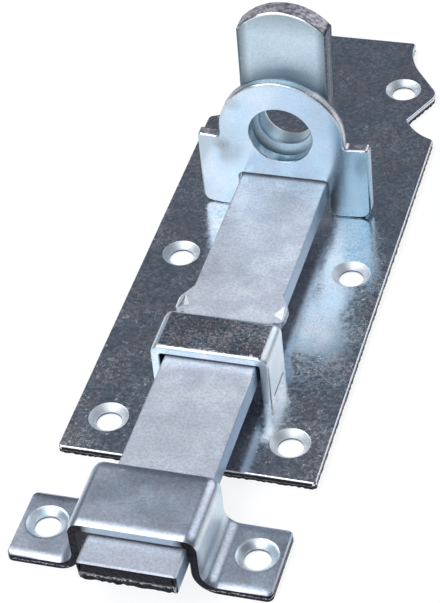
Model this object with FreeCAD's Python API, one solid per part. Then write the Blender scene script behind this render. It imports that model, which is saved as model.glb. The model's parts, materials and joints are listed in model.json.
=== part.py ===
import FreeCAD, Part
import math
import os

from FreeCAD import Vector

# Padlock sliding bolt in zinc-plated steel: base plate, guide strap, padlock bracket, bolt and keeper.
# Millimetres. Z = 0 is the surface that plate and keeper are screwed to, and +Z rises from it.
# The bolt shoots along -Y into the keeper. X = 0 is the middle of the plate.
# Places along Y are drawn from the plate's front edge, and the finished pieces are then moved so that
# the origin is the centre of the plate's back.

# Base plate
plate_width = 55.0
plate_length = 150.0
plate_thick = 2.0
plate_corner = 0.8
plate_edge_break = 0.3

# Drawn-in rear end of the plate: places forward from its rear edge and in from its sides
shoulder_back = 37.0
shoulder_round = 1.2
notch_in = 7.6
notch_back = 30.7
notch_sag = 1.0
ear_in = 3.1
ear_back = 20.2
ear_round = 4.0
tail_half = 15.4
tail_round = 16.0
tail_straight = 1.5

# Screw holes, countersunk from the outside
screw_bore = 5.4
screw_sink = 8.4
sink_depth = 1.35
front_screw_y = 10.0
middle_screw_y = 63.0
rear_screw_back = 19.2
body_screw_half = 19.6
rear_screw_half = 16.4

# Bolt: flat bar, turned up at the rear and pierced for the shackle
bar_width = 20.0
bar_thick = 5.0
bar_lift = 4.5
bar_shift = 0.25
nose_y = -37.4
bar_edge_roll = 0.6
grip_y = 84.8
grip_lean = 4.0
bend_inside = 1.2
grip_corner_height = 36.4
grip_crown = 4.6
bolt_eye_height = 13.0
bolt_eye_bore = 12.0
bolt_eye_break = 0.3

# Stop lugs punched out of the bar's upper edges, full at the rim and drawn in below it
lug_front_y = 34.6
lug_rear_y = 42.6
lug_reach = 2.1
lug_flat = 3.1
lug_rim = 1.0
lug_height = 3.4
lug_edge_break = 0.3

# Three-sided dent that the punch leaves in each lug: corners out from the bar's side and back from
# the lug's front, and the depth of the outer front corner
dent_rear = (0.9, 5.4)
dent_inner = (-0.7, 2.3)
dent_front = (1.3, 1.2)
dent_depth = 0.9
dent_draft = 0.15

# Guide strap
strap_front_y = 20.5
strap_length = 11.5
strap_thick = 2.1
strap_side_gap = 0.75
strap_top_gap = 0.3
strap_bend = 2.3
strap_bend_inside = 0.5
strap_edge_break = 0.35
strap_tenon_length = 7.0

# Padlock bracket
bracket_y = 81.6
bracket_thick = 2.5
bracket_half = 19.7
wing_start = 11.4
wing_bow = 0.7
wing_height = 19.3
head_radius = 14.3
bracket_eye_height = 21.35
bracket_eye_bore = 14.4
opening_side_gap = 0.7
opening_top_gap = 0.6
opening_round = 1.5
bracket_heel_round = 2.5
wing_corner = 0.8
head_root_round = 1.0
bracket_edge_roll = 0.5
bracket_eye_break = 0.3
bracket_tenon_half = 3.0

# Tenons of strap and bracket, riveted over in the plate
tenon_gap = 0.1
rivet_spread = 0.5
rivet_sunk = 0.1

# Keeper
keeper_shift = -0.8
keeper_front_y = -30.2
keeper_length = 17.2
keeper_thick = 2.0
keeper_side_gap = 1.4
keeper_top_gap = 0.5
keeper_bend = 3.0
foot_bend = 3.2
keeper_overall = 54.4
keeper_screw_half = 21.75
keeper_screw_drift = 0.9
keeper_corner = 1.3
keeper_edge_break = 0.35

# Places that follow from the sizes above
bar_bottom = plate_thick + bar_lift
bar_top = bar_bottom + bar_thick
bar_half = bar_width / 2
notch_half = plate_width / 2 - notch_in
ear_half = plate_width / 2 - ear_in
shoulder_y = plate_length - shoulder_back
notch_y = plate_length - notch_back
ear_y = plate_length - ear_back
rear_screw_y = plate_length - rear_screw_back


def plane_point(u, v, plane):
    """Point of a flat outline: plane XY, XZ or YZ."""
    if plane == "XY":
        return Vector(u, v, 0)
    if plane == "XZ":
        return Vector(u, 0, v)
    return Vector(0, u, v)


class Outline:
    """Closed outline of straight lines and arcs, drawn point after point."""

    def __init__(self, u, v, plane):
        self.plane = plane
        self.start = (u, v)
        self.here = (u, v)
        self.edges = []

    def line(self, u, v):
        a = plane_point(self.here[0], self.here[1], self.plane)
        b = plane_point(u, v, self.plane)
        if a.distanceToPoint(b) > 1e-6:
            self.edges.append(Part.LineSegment(a, b).toShape())
        self.here = (u, v)
        return self

    def arc(self, mid_u, mid_v, u, v):
        a = plane_point(self.here[0], self.here[1], self.plane)
        m = plane_point(mid_u, mid_v, self.plane)
        b = plane_point(u, v, self.plane)
        self.edges.append(Part.Arc(a, m, b).toShape())
        self.here = (u, v)
        return self

    def turn(self, centre_u, centre_v, u, v):
        """Arc round a centre to the point given, the short way."""
        radius = math.hypot(u - centre_u, v - centre_v)
        mid_u = (self.here[0] + u) / 2 - centre_u
        mid_v = (self.here[1] + v) / 2 - centre_v
        stretch = radius / math.hypot(mid_u, mid_v)
        return self.arc(centre_u + mid_u * stretch, centre_v + mid_v * stretch, u, v)

    def solid(self, direction):
        self.line(self.start[0], self.start[1])
        face = Part.Face(Part.Wire(self.edges))
        return face.extrude(direction)


def edges_at(shape, axis, places, tolerance=0.02):
    """Edges that run along one axis through the given places of the other two axes."""
    others = [i for i in range(3) if i != axis]
    found = []
    for edge in shape.Edges:
        ends = [v.Point for v in edge.Vertexes]
        if len(ends) != 2 or abs(ends[0][axis] - ends[1][axis]) < 0.1:
            continue
        for place in places:
            near = [abs(p[others[k]] - place[k]) < tolerance for p in ends for k in (0, 1)]
            if all(near):
                found.append(edge)
                break
    return found


def both_sides(pairs):
    return [(side * u, v) for side in (-1, 1) for u, v in pairs]


def box(x0, x1, y0, y1, z0, z1):
    return Part.makeBox(x1 - x0, y1 - y0, z1 - z0, Vector(x0, y0, z0))


def screw_hole(x, y, top):
    """Countersunk screw hole through a sheet whose outer face is at the height top."""
    bore = Part.makeCylinder(screw_bore / 2, 3 * top, Vector(x, y, -top))
    sink = Part.makeCone(screw_bore / 2, screw_sink / 2, sink_depth, Vector(x, y, top - sink_depth))
    mouth = Part.makeCylinder(screw_sink / 2, top, Vector(x, y, top))
    return bore.fuse([sink, mouth])


def tenon(x0, x1, y0, y1):
    """Tenon that stands in the plate, its end riveted over into a flared seat."""
    shank = box(x0, x1, y0, y1, rivet_sunk, plate_thick)
    wide = rivet_spread
    lower = rectangle(x0 - wide, x1 + wide, y0 - wide, y1 + wide, rivet_sunk)
    upper = rectangle(x0, x1, y0, y1, rivet_sunk + wide)
    return shank.fuse(Part.makeLoft([lower, upper], True))


def tenon_seat(x0, x1, y0, y1):
    """Slot of a tenon in the plate, flared at the back by as much as the rivet head."""
    x0, x1 = x0 - tenon_gap, x1 + tenon_gap
    y0, y1 = y0 - tenon_gap, y1 + tenon_gap
    slot = box(x0, x1, y0, y1, -plate_thick, 2 * plate_thick)
    wide = rivet_spread + rivet_sunk
    lower = rectangle(x0 - wide, x1 + wide, y0 - wide, y1 + wide, 0)
    upper = rectangle(x0, x1, y0, y1, wide)
    return slot.fuse(Part.makeLoft([lower, upper], True))


def rectangle(x0, x1, y0, y1, z):
    corners = [Vector(x0, y0, z), Vector(x1, y0, z), Vector(x1, y1, z), Vector(x0, y1, z)]
    return Part.makePolygon(corners + corners[:1])


def strap_inner_half():
    return bar_half + strap_side_gap


def strap_tenon_places():
    """Extent of each strap tenon in X and Y."""
    inner = strap_inner_half()
    y0 = strap_front_y + (strap_length - strap_tenon_length) / 2
    y1 = y0 + strap_tenon_length
    return [(-inner - strap_thick, -inner, y0, y1), (inner, inner + strap_thick, y0, y1)]


def opening_half():
    return bar_half + opening_side_gap


def bracket_tenon_places():
    """Extent of each bracket tenon in X and Y, midway along its foot."""
    middle = (opening_half() + bracket_half) / 2
    y0 = bracket_y + wing_bow / 2
    y1 = y0 + bracket_thick - wing_bow / 2
    half = bracket_tenon_half
    return [(s * middle - half, s * middle + half, y0, y1) for s in (-1, 1)]


def ear_points():
    """Points where the ear's round end meets the straight flanks, on the right-hand side."""
    ear = (ear_half - ear_round, ear_y)
    tail = (tail_half + tail_round, plate_length - tail_straight)
    # flank from the notch to the ear
    span = math.hypot(ear[0] - notch_half, ear[1] - notch_y)
    flank = math.atan2(ear[1] - notch_y, ear[0] - notch_half) - math.asin(ear_round / span)
    foot = (ear[0] + ear_round * math.sin(flank), ear[1] - ear_round * math.cos(flank))
    # flank from the ear to the hollow of the tail, tangent to both circles
    span = math.hypot(tail[0] - ear[0], tail[1] - ear[1])
    cross = math.atan2(tail[1] - ear[1], tail[0] - ear[0]) + math.asin((ear_round + tail_round) / span)
    across = (math.sin(cross), -math.cos(cross))
    crest = (ear[0] + ear_round * across[0], ear[1] + ear_round * across[1])
    hollow = (tail[0] - tail_round * across[0], tail[1] - tail_round * across[1])
    return ear, tail, foot, crest, hollow


def plate_half():
    """Right-hand half of the blank: full width, notch, ear and drawn-in tail."""
    half = plate_width / 2
    ear, tail, foot, crest, hollow = ear_points()
    run = math.hypot(half - notch_half, notch_y - shoulder_y)
    mid_x = (half + notch_half) / 2 - notch_sag * (notch_y - shoulder_y) / run
    mid_y = (shoulder_y + notch_y) / 2 - notch_sag * (half - notch_half) / run
    outline = Outline(0, 0, "XY")
    outline.line(half, 0)
    outline.line(half, shoulder_y)
    outline.arc(mid_x, mid_y, notch_half, notch_y)
    outline.line(foot[0], foot[1])
    outline.turn(ear[0], ear[1], crest[0], crest[1])
    outline.line(hollow[0], hollow[1])
    outline.turn(tail[0], tail[1], tail_half, tail[1])
    outline.line(tail_half, plate_length)
    outline.line(0, plate_length)
    return outline.solid(Vector(0, 0, plate_thick))


def plate():
    right = plate_half()
    left = right.mirror(Vector(0, 0, 0), Vector(1, 0, 0))
    body = right.fuse(left).removeSplitter()
    half = plate_width / 2
    ends = both_sides([(half, 0), (tail_half, plate_length)])
    body = body.makeFillet(plate_corner, edges_at(body, 2, ends))
    body = body.makeFillet(shoulder_round, edges_at(body, 2, both_sides([(half, shoulder_y)])))
    top = [f for f in body.Faces if f.BoundBox.ZMin > plate_thick - 0.01][0]
    body = body.makeChamfer(plate_edge_break, top.OuterWire.Edges)
    rows = [(body_screw_half, front_screw_y), (body_screw_half, middle_screw_y)]
    rows.append((rear_screw_half, rear_screw_y))
    holes = [screw_hole(x, y, plate_thick) for x, y in both_sides(rows)]
    seats = [tenon_seat(*place) for place in strap_tenon_places() + bracket_tenon_places()]
    return body.cut(holes + seats)


def strap():
    """Guide strap: a strip bent square over the bar, its two legs tenoned into the plate."""
    inner = strap_inner_half()
    outer = inner + strap_thick
    under = bar_top + strap_top_gap
    top = under + strap_thick
    outline = Outline(-outer, plate_thick, "XZ")
    outline.line(-outer, top).line(outer, top).line(outer, plate_thick).line(inner, plate_thick)
    outline.line(inner, under).line(-inner, under).line(-inner, plate_thick)
    body = outline.solid(Vector(0, strap_length, 0))
    body.translate(Vector(0, strap_front_y, 0))
    body = body.makeFillet(strap_bend, edges_at(body, 1, both_sides([(outer, top)])))
    body = body.makeFillet(strap_bend_inside, edges_at(body, 1, both_sides([(inner, under)])))
    rims = []
    for edge in body.Edges:
        middle = edge.BoundBox.Center
        on_end = edge.BoundBox.YLength < 0.01
        outside = middle.z > top - strap_bend or abs(middle.x) > outer - 0.01
        if on_end and outside and edge.BoundBox.ZMin > plate_thick - 0.01 and middle.z > plate_thick + 1:
            rims.append(edge)
    body = body.makeChamfer(strap_edge_break, rims)
    return body.fuse([tenon(*place) for place in strap_tenon_places()]).removeSplitter()


def bracket_sheet():
    """Sheet of the bracket seen from above: flat in the middle, both wings bowed to the rear."""
    reach = bracket_half + 1
    radius = ((bracket_half - wing_start) ** 2 + wing_bow ** 2) / (2 * wing_bow)
    centre_y = bracket_y + radius

    def bowed(x, offset):
        return centre_y - math.sqrt((radius - offset) ** 2 - (abs(x) - wing_start) ** 2)

    mid = (wing_start + reach) / 2
    rear = bracket_thick
    outline = Outline(-wing_start, bracket_y, "XY")
    outline.line(wing_start, bracket_y)
    outline.arc(mid, bowed(mid, 0), reach, bowed(reach, 0))
    outline.line(reach, bowed(reach, rear))
    outline.arc(mid, bowed(mid, rear), wing_start, bracket_y + rear)
    outline.line(-wing_start, bracket_y + rear)
    outline.arc(-mid, bowed(mid, rear), -reach, bowed(reach, rear))
    outline.line(-reach, bowed(reach, 0))
    outline.arc(-mid, bowed(mid, 0), -wing_start, bracket_y)
    sheet = outline.solid(Vector(0, 0, 3 * wing_height))
    return sheet, bowed


def bracket():
    """Padlock bracket: an upright sheet with a round pierced head and an opening for the bar."""
    foot = plate_thick
    wing_top = foot + wing_height
    eye = foot + bracket_eye_height
    opening = bar_top + opening_top_gap
    side = opening_half()
    outline = Outline(-bracket_half, foot, "XZ")
    outline.line(-bracket_half, wing_top).line(-head_radius, wing_top).line(-head_radius, eye)
    outline.arc(0, eye + head_radius, head_radius, eye)
    outline.line(head_radius, wing_top).line(bracket_half, wing_top).line(bracket_half, foot)
    outline.line(side, foot).line(side, opening).line(-side, opening).line(-side, foot)
    depth = bracket_thick + 2 * wing_bow + 2
    front = outline.solid(Vector(0, depth, 0))
    front.translate(Vector(0, bracket_y - 1, 0))
    corners = [
        (bracket_heel_round, [(bracket_half, foot)]),
        (wing_corner, [(bracket_half, wing_top)]),
        (head_root_round, [(head_radius, wing_top)]),
        (opening_round, [(side, opening)]),
    ]
    for radius, places in corners:
        front = front.makeFillet(radius, edges_at(front, 1, both_sides(places)))
    inward = Vector(0, 1, 0)
    narrow = bracket_eye_bore / 2
    wide = narrow + bracket_eye_break
    bore = Part.makeCylinder(narrow, depth, Vector(0, bracket_y - 1, eye), inward)
    rim = Part.makeCone(wide, narrow, bracket_eye_break, Vector(0, bracket_y, eye), inward)
    sheet, bowed = bracket_sheet()
    body = sheet.common(front).cut([bore, rim]).removeSplitter()

    def front_y(x):
        return bowed(x, 0) if abs(x) > wing_start else bracket_y

    rims = []
    for edge in body.Edges:
        points = edge.discretize(5)
        in_front = all(abs(p.y - front_y(p.x)) < 0.02 for p in points)
        seam = all(abs(abs(p.x) - wing_start) < 0.02 for p in points)
        inside = any(p.z < opening + 1 and abs(p.x) < bracket_half - 3 for p in points)
        at_eye = any(math.hypot(p.x, p.z - eye) < head_radius - 1 for p in points)
        at_foot = any(p.z < foot + 0.5 for p in points)
        if in_front and not (seam or inside or at_eye or at_foot):
            rims.append(edge)
    body = body.makeFillet(bracket_edge_roll, rims)
    return body.fuse([tenon(*place) for place in bracket_tenon_places()]).removeSplitter()


def grip_line(height):
    """Y of the turned-up end's front face at a height above the bar's top."""
    return grip_y + (height - opening_top_gap) * math.tan(math.radians(grip_lean))


def bolt_profile():
    """Side view of the bolt: the bar, the bend and the leaning upright end."""
    lean = math.radians(grip_lean)
    along = (math.sin(lean), math.cos(lean))
    across = (math.cos(lean), -math.sin(lean))
    centre_z = bar_top + bend_inside
    centre_y = grip_line(bend_inside) - bend_inside / math.cos(lean)
    bend_outside = bend_inside + bar_thick
    rise = grip_corner_height + grip_crown
    inner = (centre_y + bend_inside * across[0], centre_z + bend_inside * across[1])
    outer = (centre_y + bend_outside * across[0], centre_z + bend_outside * across[1])
    outline = Outline(nose_y, bar_bottom, "YZ")
    outline.line(nose_y, bar_top)
    outline.line(centre_y, bar_top)
    outline.turn(centre_y, centre_z, inner[0], inner[1])
    outline.line(inner[0] + rise * along[0], inner[1] + rise * along[1])
    outline.line(outer[0] + rise * along[0], outer[1] + rise * along[1])
    outline.line(outer[0], outer[1])
    outline.turn(centre_y, centre_z, centre_y, bar_bottom)
    body = outline.solid(Vector(bar_width, 0, 0))
    body.translate(Vector(-bar_half, 0, 0))
    return body


def grip_frame(shape):
    """Tilt a shape drawn upright at the bar's top so that it follows the leaning end."""
    pivot = Vector(0, grip_y, bar_top + opening_top_gap)
    shape.rotate(pivot, Vector(1, 0, 0), -grip_lean)
    return shape


def bolt_crown():
    """Envelope that rounds the top of the upright end to an arc."""
    corner = bar_top + grip_corner_height
    below = -plate_length
    outline = Outline(-bar_half - 1, below, "XZ")
    outline.line(-bar_half - 1, corner).line(-bar_half, corner)
    outline.arc(0, corner + grip_crown, bar_half, corner)
    outline.line(bar_half + 1, corner).line(bar_half + 1, below)
    body = outline.solid(Vector(0, 2 * plate_length, 0))
    body.translate(Vector(0, -plate_length, 0))
    return grip_frame(body)


def stop_lug():
    """Right-hand stop lug: sloped at the rear, blunt in front, its rim flush with the bar's top."""
    inside = bar_half - bar_edge_roll
    tip = bar_half + lug_reach
    slope_y = lug_front_y + lug_reach / 2 + lug_flat
    run_out = bar_edge_roll * (lug_rear_y - slope_y) / lug_reach
    outline = Outline(inside, lug_front_y, "XY")
    outline.line(bar_half, lug_front_y)
    outline.arc(tip - lug_reach * 0.3, lug_front_y + lug_reach * 0.2, tip, lug_front_y + lug_reach)
    outline.line(tip, slope_y)
    outline.line(inside, lug_rear_y + run_out)
    plan = outline.solid(Vector(0, 0, lug_height))
    plan.translate(Vector(0, 0, bar_top - lug_height))
    section = Outline(inside, bar_top, "XZ")
    section.line(tip - lug_edge_break, bar_top).line(tip, bar_top - lug_edge_break)
    section.line(tip, bar_top - lug_rim).line(bar_half, bar_top - lug_height)
    section.line(inside, bar_top - lug_height)
    wedge = section.solid(Vector(0, 2 * (lug_rear_y - lug_front_y), 0))
    wedge.translate(Vector(0, lug_front_y - lug_reach, 0))
    return plan.common(wedge)


def lug_dent():
    """Dent of the right-hand lug: a floor that falls outwards and forwards, under walls with draft."""
    corners = []
    for (out, back), drop in ((dent_rear, 0), (dent_inner, 0), (dent_front, dent_depth)):
        corners.append(Vector(bar_half + out, lug_front_y + back, bar_top - drop))
    floor = Part.Face(Part.makePolygon(corners + corners[:1]))
    lift = 2 * dent_depth
    return floor.extrude(Vector(dent_draft * lift, -dent_draft * lift, lift))


def bolt():
    body = bolt_profile().common(bolt_crown()).removeSplitter()
    sides = [f for f in body.Faces if f.BoundBox.XLength < 0.01]
    body = body.makeFillet(bar_edge_roll, [e for f in sides for e in f.OuterWire.Edges])
    before = Vector(0, grip_y - 2 * bar_thick, bar_top + bolt_eye_height)
    bore = Part.makeCylinder(bolt_eye_bore / 2, 4 * bar_thick, before, Vector(0, 1, 0))
    body = body.cut(grip_frame(bore))
    rims = []
    for edge in body.Edges:
        closed = len(edge.Vertexes) == 1
        if closed and abs(edge.Length - math.pi * bolt_eye_bore) < 0.1:
            rims.append(edge)
    body = body.makeChamfer(bolt_eye_break, rims)
    right = stop_lug()
    left = right.mirror(Vector(0, 0, 0), Vector(1, 0, 0))
    dent = lug_dent()
    dents = [dent, dent.mirror(Vector(0, 0, 0), Vector(1, 0, 0))]
    body = body.fuse([right, left]).cut(dents).removeSplitter()
    body.translate(Vector(bar_shift, 0, 0))
    return body


def keeper_profile(inner, under):
    """Hat section of the keeper, one side of the strip after the other, about X = 0."""
    outer = inner + keeper_thick
    top = under + keeper_thick
    end = keeper_overall / 2
    bend_in = keeper_bend - keeper_thick
    foot_x = outer + foot_bend
    foot_z = keeper_thick + foot_bend
    outline = Outline(end, 0, "XZ")
    outline.line(end, keeper_thick).line(foot_x, keeper_thick)
    outline.turn(foot_x, foot_z, outer, foot_z)
    outline.line(outer, top - keeper_bend)
    outline.turn(outer - keeper_bend, top - keeper_bend, outer - keeper_bend, top)
    outline.line(keeper_bend - outer, top)
    outline.turn(keeper_bend - outer, top - keeper_bend, -outer, top - keeper_bend)
    outline.line(-outer, foot_z)
    outline.turn(-foot_x, foot_z, -foot_x, keeper_thick)
    outline.line(-end, keeper_thick).line(-end, 0).line(-foot_x, 0)
    outline.turn(-foot_x, foot_z, -inner, foot_z)
    outline.line(-inner, under - bend_in)
    outline.turn(bend_in - inner, under - bend_in, bend_in - inner, under)
    outline.line(inner - bend_in, under)
    outline.turn(inner - bend_in, under - bend_in, inner, under - bend_in)
    outline.line(inner, foot_z)
    outline.turn(foot_x, foot_z, foot_x, 0)
    return outline.solid(Vector(0, keeper_length, 0))


def keeper_rims(body, inner, under):
    """Edges of the keeper's outer skin: along its front, its rear and both ends."""
    outer = inner + keeper_thick
    top = under + keeper_thick
    end = keeper_overall / 2
    foot = (outer + foot_bend, keeper_thick + foot_bend)
    crest = (outer - keeper_bend, top - keeper_bend)

    def on_skin(p):
        x = abs(p.x)
        if x > foot[0]:
            off = p.z - keeper_thick
        elif x > outer + 0.01:
            off = math.hypot(x - foot[0], p.z - foot[1]) - foot_bend
        elif x > crest[0] and p.z > crest[1]:
            off = math.hypot(x - crest[0], p.z - crest[1]) - keeper_bend
        elif p.z > crest[1]:
            off = p.z - top
        else:
            off = x - outer
        return abs(off) < 0.02

    rims = []
    for edge in body.Edges:
        points = edge.discretize(5)
        crosswise = edge.BoundBox.YLength < keeper_length / 2
        at_end = all(abs(p.x) > end - 0.01 for p in points)
        if (crosswise or at_end) and all(on_skin(p) for p in points):
            rims.append(edge)
    return rims


def keeper():
    inner = bar_half + keeper_side_gap
    under = bar_top + keeper_top_gap
    body = keeper_profile(inner, under)
    end = keeper_overall / 2
    corners = both_sides([(end, 0), (end, keeper_length)])
    body = body.makeFillet(keeper_corner, edges_at(body, 2, corners))
    body = body.makeChamfer(keeper_edge_break, keeper_rims(body, inner, under))
    middle = keeper_length / 2 + keeper_screw_drift
    body = body.cut([screw_hole(s * keeper_screw_half, middle, keeper_thick) for s in (-1, 1)])
    body.translate(Vector(keeper_shift, keeper_front_y, 0))
    return body


def main():
    os.makedirs("parts", exist_ok=True)
    pieces = {
        "base_plate": plate(),
        "guide_strap": strap(),
        "padlock_bracket": bracket(),
        "bolt": bolt(),
        "keeper": keeper(),
    }
    for name, shape in pieces.items():
        shape.translate(Vector(0, -plate_length / 2, 0))
        shape.exportStep("parts/" + name + ".step")


main()
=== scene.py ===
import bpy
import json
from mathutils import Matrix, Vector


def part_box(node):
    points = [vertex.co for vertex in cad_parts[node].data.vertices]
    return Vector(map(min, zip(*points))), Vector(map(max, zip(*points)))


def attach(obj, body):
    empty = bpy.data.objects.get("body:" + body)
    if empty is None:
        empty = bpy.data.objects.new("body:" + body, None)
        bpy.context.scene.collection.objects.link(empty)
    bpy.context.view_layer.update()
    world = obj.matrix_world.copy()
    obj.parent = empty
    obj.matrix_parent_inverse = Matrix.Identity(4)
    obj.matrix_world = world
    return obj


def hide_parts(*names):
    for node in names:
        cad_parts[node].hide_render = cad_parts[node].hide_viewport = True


bl_info = {
    "name": "Padlock sliding bolt",
    "version": (1, 0, 0),
    "blender": (4, 5, 0),
    "location": "3D View > Sidebar > Sliding bolt",
    "description": "Dresses the five pieces of a zinc-plated padlock bolt, on a studio floor",
    "category": "Object",
}

import json
import math

import bmesh
import bpy
from mathutils import Quaternion, Vector

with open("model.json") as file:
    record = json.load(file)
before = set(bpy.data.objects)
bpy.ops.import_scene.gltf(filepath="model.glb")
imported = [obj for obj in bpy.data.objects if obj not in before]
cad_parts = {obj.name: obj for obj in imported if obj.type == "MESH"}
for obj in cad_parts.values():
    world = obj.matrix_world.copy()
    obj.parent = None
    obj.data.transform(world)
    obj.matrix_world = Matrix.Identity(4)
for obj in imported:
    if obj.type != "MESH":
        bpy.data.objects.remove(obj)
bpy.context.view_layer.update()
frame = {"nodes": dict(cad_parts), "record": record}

MM = 0.001
UP = Vector((0, 0, 1))
WHITE = (1, 1, 1, 1)

# Places in a mesh that differ by less are the same place; the second is for curved facets.
HAIR = 0.01 * MM
NEAR = 0.05 * MM

# Sizes of the solids, by which their faces are told apart.
SHEET_TOP = 2 * MM  # front of the plate and of the keeper's feet
SINK_RIM = 4.2 * MM  # radius of a countersink
SINK_REACH = 4.9 * MM  # radius that takes in its rounded rim as well
EDGE_BREAK = 0.35 * MM  # chamfer along the cut edges of the strap and the keeper

# How far a face's normal points along an axis: hardly, partly, almost straight.
HARDLY, PARTLY, STRAIGHT = 0.1, 0.3, 0.9

# Inputs of a Mix node that mixes colours.
LEVEL, UNDER, OVER = 0, 6, 7

# Pattern of the smooth satin zinc on cut and countersunk faces.
SATIN = {"cloud": 4 * MM, "grain": 0.4 * MM, "relief": 0.006 * MM}


def linear(code):
    """Linear colour of an sRGB hex code."""
    parts = [int(code[i : i + 2], 16) / 255 for i in (0, 2, 4)]
    return tuple(p / 12.92 if p <= 0.04045 else ((p + 0.055) / 1.055) ** 2.4 for p in parts)


def length(title, text, size):
    """Size property, its default in millimetres."""
    return bpy.props.FloatProperty(
        name=title, description=text, default=size * MM, unit="LENGTH"
    )


def angle(title, text, degrees):
    """Angle property, its default in degrees."""
    return bpy.props.FloatProperty(
        name=title, description=text, default=math.radians(degrees), subtype="ANGLE"
    )


def share(title, text, value):
    """Property for a part or a brightness, where 1 is the plain level."""
    return bpy.props.FloatProperty(
        name=title, description=text, default=value, min=0, subtype="FACTOR"
    )


def colour(title, text, code):
    """Colour property, its default as an sRGB hex code."""
    return bpy.props.FloatVectorProperty(
        name=title, description=text, default=linear(code), size=3, min=0, max=1, subtype="COLOR"
    )


class BoltShapes(bpy.types.PropertyGroup):
    merge: length("Merge distance", "Corners nearer than this are one corner", 0.002)
    strap_roll: length("Strap roll", "Width of its skin that falls off to the cut edges", 1.4)
    strap_drop: length("Strap roll depth", "How far the strap's skin falls off", 0.14)
    keeper_roll: length("Keeper roll", "Width of its skin that falls off to the cut edges", 2.1)
    keeper_drop: length("Keeper roll depth", "How far the keeper's skin falls off", 0.2)
    bar_roll: length("Bar end roll", "Rounding of the bar's two cropped ends", 0.5)
    plate_sink_roll: length("Plate sink roll", "Rounding of its countersinks' rims", 0.12)
    keeper_sink_roll: length("Keeper sink roll", "Rounding of its countersinks' rims", 0.35)
    shear_height: length("Shear line", "Height of the torn part of the plate's cut sides", 1.15)
    shear_depth: length("Tear depth", "How far the torn part lies back at most", 0.3)
    shear_pitch: length("Tear pitch", "Distance between points along a torn edge", 0.35)
    tear_size: length("Tear size", "Length of one notch of a torn edge", 0.9)
    nose_torn: length("Nose tear height", "Height of the torn part of the nose", 2.6)
    nose_depth: length("Nose tear depth", "How far the nose's torn part lies back at most", 0.6)


class BoltColours(bpy.types.PropertyGroup):
    plate_cool: colour("Plate, cool", "Bluish clouds of the rolled sheet", "DFE8F2")
    plate_warm: colour("Plate, warm", "Violet clouds of the rolled sheet", "F0EDF1")
    strap_cool: colour("Strap, cool", "Grey clouds of the strap", "C2CAD6")
    strap_warm: colour("Strap, warm", "Brown clouds of the strap", "E4DCDF")
    ice_cool: colour("Stamping, cool", "Ice-blue passivated zinc", "B9CFDC")
    ice_warm: colour("Stamping, light", "Paler clouds of the stamping", "C1CFDA")
    bar_cool: colour("Bar, cool", "Bluish clouds of the flat bar", "F0F6FF")
    bar_warm: colour("Bar, warm", "Darker clouds of the flat bar", "E0E5F2")
    keeper_cool: colour("Keeper, cool", "Bluish clouds of the keeper", "CAD7E7")
    keeper_warm: colour("Keeper, warm", "Violet clouds of the keeper", "C6CCDB")
    # speck_and_highlight: pale specks and burnished dents, also painted highlights on rims
    speck_and_highlight: colour("Specks", "Pale specks in the zinc, and burnished dents", "F2F5F8")
    # torn_steel_and_shade: torn steel's near-black, partly painted shade, and the keeper's painted
    # bend shade
    torn_steel_and_shade: colour("Torn steel", "Dark torn face of a cut edge", "26262E")
    steel_light: colour("Torn steel, ridges", "Ridges of a torn face", "CFD1DA")
    crown_dark: colour("Crown, dark", "Flecks in the turned-up end's cropped top", "9A99A8")
    crown_light: colour("Crown, light", "Cropped top of the turned-up end", "ECEAF2")
    # teal_shade: painted shade, on the bracket's right wing and in both eyes
    teal_shade: colour("Film", "Teal film on the bracket's right wing and in both eyes", "7FA2B8")
    grip_ice: colour("Grip, ice", "Pale ice-blue of the turned-up end", "DDEFFA")
    # grip_edge_shade: painted shade along the turned-up end's edges and under its crown
    grip_edge_shade: colour("Grip, rim", "Darker film along the turned-up end's edges", "64747F")
    # nose_shade: painted shade that darkens the bar towards the nose, away from the bracket it
    # mirrors
    nose_shade: colour("Bar, nose", "Darker, worn zinc near the nose", "BFC6D4")
    bar_side: colour("Bar, sides", "Ice-blue sides of the flat bar", "BCD4E8")
    side_darker: colour("Bar, sides, worn", "Its sides between strap and keeper", "9DB4CE")
    sink_pale: colour("Countersinks", "Pale countersinks and burnished lips", "EEF3F8")
    # slate_and_shade: slate of sheared sides, also painted shade lines at bore tops and the bracket
    # head's rims
    slate_and_shade: colour("Sheared side", "Slate of sheared sides and of thin dark rims", "5C6472")
    # inside: dark as painted shade, for the insides of the bent strips
    inside: colour("Inside", "Dull inside of the bent strips", "3E414B")
    smudge: colour("Smudge", "Brownish smudge on the bracket", "8E8680")


class BoltStage(bpy.types.PropertyGroup):
    camera_x: length("Camera X", "Camera place", 122.055)
    camera_y: length("Camera Y", "Camera place", -374.871)
    camera_z: length("Camera Z", "Camera place", 333.303)
    azimuth: angle("Azimuth", "Turn of the view to the right", 20.23)
    elevation: angle("Elevation", "Height of the camera above the floor", 41.71)
    roll: angle("Roll", "Turn of the picture", -6.453)
    lens: bpy.props.FloatProperty(
        name="Lens", description="Focal length in millimetres", default=135.825, unit="CAMERA"
    )
    floor_colour: colour("Floor", "Pale floor", "F4F5F7")
    room_colour: colour("Room", "Dim room that the level metal mirrors", "5F6670")
    floor_glow: share("Floor glow", "Part of its brightness that camera and metal always see", 0.76)
    floor_level: share("Floor level", "Brightness of that part", 1.1)
    front_level: share("Front light", "Brightness of the large light above the nose", 2.0)
    top_level: share("Top light", "Brightness of the overhead light", 3.4)
    side_level: share("Side light", "Brightness of the light behind on the right", 1.4)
    glint_level: share("Glint lights", "Brightness of the two that the lugs' dents mirror", 1.5)


def only(piece):
    """Select one piece and nothing else."""
    bpy.ops.object.select_all(action="DESELECT")
    piece.select_set(True)
    bpy.context.view_layer.objects.active = piece


def edit(piece):
    """Enter edit mode on one piece."""
    only(piece)
    bpy.ops.object.mode_set(mode="EDIT")


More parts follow.
